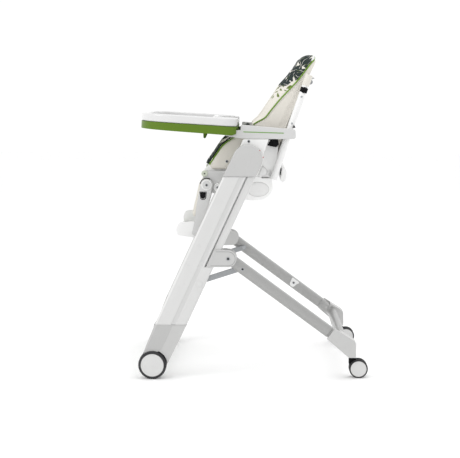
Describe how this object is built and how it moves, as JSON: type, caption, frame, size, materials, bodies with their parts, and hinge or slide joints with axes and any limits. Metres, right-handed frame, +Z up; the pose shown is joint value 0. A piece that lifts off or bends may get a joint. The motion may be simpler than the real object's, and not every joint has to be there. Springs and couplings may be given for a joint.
{
  "type": "baby high chair",
  "caption": "Folding baby high chair on wheels: slanted legs carry a height-adjustable padded seat with reclining back, leg rest and a removable tray.",
  "frame": {"origin": "middle of the chair at floor level", "axes": "+Z up, the chair faces -Y, +X towards the sitter's left"},
  "size_m": [0.6, 0.7404, 1.0461],
  "materials": {
    "white": "satin",
    "pale_grey": "satin",
    "tray_white": "gloss",
    "green": "satin",
    "silver": "silver lacquer",
    "steel": "satin",
    "black": "matte",
    "red": "satin",
    "tyre": "matte",
    "caster": "matte",
    "cover": "soft coated fabric over foam",
    "webbing": "woven"
  },
  "bodies": {
    "main_frame": {"main_leg_left": "white", "main_leg_right": "white", "leg_cap_left": "pale_grey", "leg_cap_right": "pale_grey", "leg_foot_left": "pale_grey", "leg_foot_right": "pale_grey", "front_axle_tube": "steel"},
    "front_wheel_left": {"front_tyre_left": "tyre", "front_hub_left": "white"},
    "front_wheel_right": {"front_tyre_right": "tyre", "front_hub_right": "white"},
    "rear_carriage": {"rear_bracket_left": "white", "rear_bracket_right": "white"},
    "rear_frame": {"rear_leg_left": "silver", "rear_leg_right": "silver", "caster_housing_left": "pale_grey", "caster_housing_right": "pale_grey", "tray_hook_left": "white", "tray_hook_right": "white", "rear_cross_tube": "silver"},
    "fold_struts": {"fold_strut_left": "steel", "fold_strut_right": "steel"},
    "caster_left": {"caster_fork_left": "black"},
    "caster_right": {"caster_fork_right": "black"},
    "caster_wheel_left": {"caster_wheel_left": "caster"},
    "caster_wheel_right": {"caster_wheel_right": "caster"},
    "seat": {"seat_shell": "white", "mechanism_housing": "white", "seat_side_plate_left": "white", "seat_side_plate_right": "white", "height_slider_left": "black", "height_slider_right": "black", "legrest_housing_left": "pale_grey", "legrest_housing_right": "pale_grey", "armrest_left": "white", "armrest_right": "white", "seat_cushion": "cover", "lap_straps": "webbing", "harness_buckle": "black"},
    "buckle_button": {"buckle_button": "red"},
    "height_button_left": {"height_button_left": "white"},
    "height_button_right": {"height_button_right": "white"},
    "backrest": {"backrest_shell": "white", "back_cross_bar": "steel", "backrest_cushion": "cover", "back_tube_left": "white", "back_tube_right": "white", "shoulder_strap_left": "webbing", "shoulder_strap_right": "webbing"},
    "recline_handle": {"recline_handle": "white"},
    "legrest": {"legrest_arm_left": "pale_grey", "legrest_arm_right": "pale_grey", "legrest_panel": "white", "legrest_pad": "cover"},
    "legrest_button_left": {"legrest_button_left": "black"},
    "legrest_button_right": {"legrest_button_right": "black"},
    "footrest": {"footrest": "pale_grey"},
    "tray": {"tray_base": "green"},
    "tray_lever": {"tray_lever": "green"},
    "tray_top": {"tray_top": "tray_white"}
  },
  "joints": [
    {"name": "front_wheel_spin_left", "type": "hinge", "parent": "main_frame", "child": "front_wheel_left", "pos_m": [0.284, -0.32475, 0.0455], "axis": [1, 0, 0], "continuous": true},
    {"name": "front_wheel_spin_right", "type": "hinge", "parent": "main_frame", "child": "front_wheel_right", "pos_m": [-0.284, -0.32475, 0.0455], "axis": [1, 0, 0], "continuous": true},
    {"name": "rear_leg_fold", "type": "hinge", "parent": "rear_carriage", "child": "rear_frame", "pos_m": [0, -0.08075, 0.391], "axis": [-1, 0, 0], "range_deg": [0, 71]},
    {"name": "carriage_slide", "type": "slide", "parent": "main_frame", "child": "rear_carriage", "axis": [0, 0.4195, 0.9078], "range_m": [0, 0.0795]},
    {"name": "strut_fold", "type": "hinge", "parent": "main_frame", "child": "fold_struts", "pos_m": [0, -0.17375, 0.311], "axis": [1, 0, 0], "range_deg": [0, 26.2]},
    {"name": "caster_swivel_left", "type": "hinge", "parent": "rear_frame", "child": "caster_left", "pos_m": [0.254, 0.31825, 0.06], "axis": [0, 0, 1], "continuous": true},
    {"name": "caster_roll_left", "type": "hinge", "parent": "caster_left", "child": "caster_wheel_left", "pos_m": [0.254, 0.34025, 0.03], "axis": [1, 0, 0], "continuous": true},
    {"name": "caster_swivel_right", "type": "hinge", "parent": "rear_frame", "child": "caster_right", "pos_m": [-0.254, 0.31825, 0.06], "axis": [0, 0, 1], "continuous": true},
    {"name": "caster_roll_right", "type": "hinge", "parent": "caster_right", "child": "caster_wheel_right", "pos_m": [-0.254, 0.34025, 0.03], "axis": [1, 0, 0], "continuous": true},
    {"name": "seat_height", "type": "slide", "parent": "main_frame", "child": "seat", "axis": [0, 0.4195, 0.9078], "range_m": [-0.316, 0]},
    {"name": "backrest_recline", "type": "hinge", "parent": "seat", "child": "backrest", "pos_m": [0, 0.05525, 0.653], "axis": [-1, 0, 0], "range_deg": [0, 38]},
    {"name": "recline_handle_pull", "type": "hinge", "parent": "backrest", "child": "recline_handle", "pos_m": [0, 0.09625, 0.674], "axis": [1, 0, 0], "range_deg": [0, 12], "stiffness_Nm_per_rad": 2, "springref_deg": -5.73},
    {"name": "legrest_tilt", "type": "hinge", "parent": "seat", "child": "legrest", "pos_m": [0, -0.15175, 0.62], "axis": [-1, 0, 0], "range_deg": [0, 60]},
    {"name": "footrest_tilt", "type": "hinge", "parent": "legrest", "child": "footrest", "pos_m": [0, -0.18875, 0.47], "axis": [1, 0, 0], "range_deg": [0, 60]},
    {"name": "legrest_button_press_left", "type": "slide", "parent": "legrest", "child": "legrest_button_left", "axis": [-1, 0, 0], "range_m": [0, 0.003], "stiffness_N_per_m": 800},
    {"name": "height_button_press_left", "type": "slide", "parent": "seat", "child": "height_button_left", "axis": [-1, 0, 0], "range_m": [0, 0.002], "stiffness_N_per_m": 800},
    {"name": "legrest_button_press_right", "type": "slide", "parent": "legrest", "child": "legrest_button_right", "axis": [1, 0, 0], "range_m": [0, 0.003], "stiffness_N_per_m": 800},
    {"name": "height_button_press_right", "type": "slide", "parent": "seat", "child": "height_button_right", "axis": [1, 0, 0], "range_m": [0, 0.002], "stiffness_N_per_m": 800},
    {"name": "buckle_button_press", "type": "slide", "parent": "seat", "child": "buckle_button", "axis": [0, 0, -1], "range_m": [0, 0.0025], "stiffness_N_per_m": 800, "springref_m": -0.0005},
    {"name": "tray_slide", "type": "slide", "parent": "seat", "child": "tray", "axis": [0, -0.9981, 0.061], "range_m": [0, 0.25]},
    {"name": "tray_lever_pull", "type": "hinge", "parent": "tray", "child": "tray_lever", "pos_m": [0, -0.16243, 0.8043], "axis": [-1, 0, 0], "range_deg": [0, 15], "stiffness_Nm_per_rad": 1, "springref_deg": -5.73},
    {"name": "tray_top_lift", "type": "slide", "parent": "tray", "child": "tray_top", "axis": [0, 0.061, 0.9981], "range_m": [0, 0.06]}
  ],
  "couplings": [
    {"joint": "carriage_slide", "follows": "rear_leg_fold", "m_per_rad": 0.06406},
    {"joint": "strut_fold", "follows": "rear_leg_fold", "ratio": 0.3664}
  ]
}
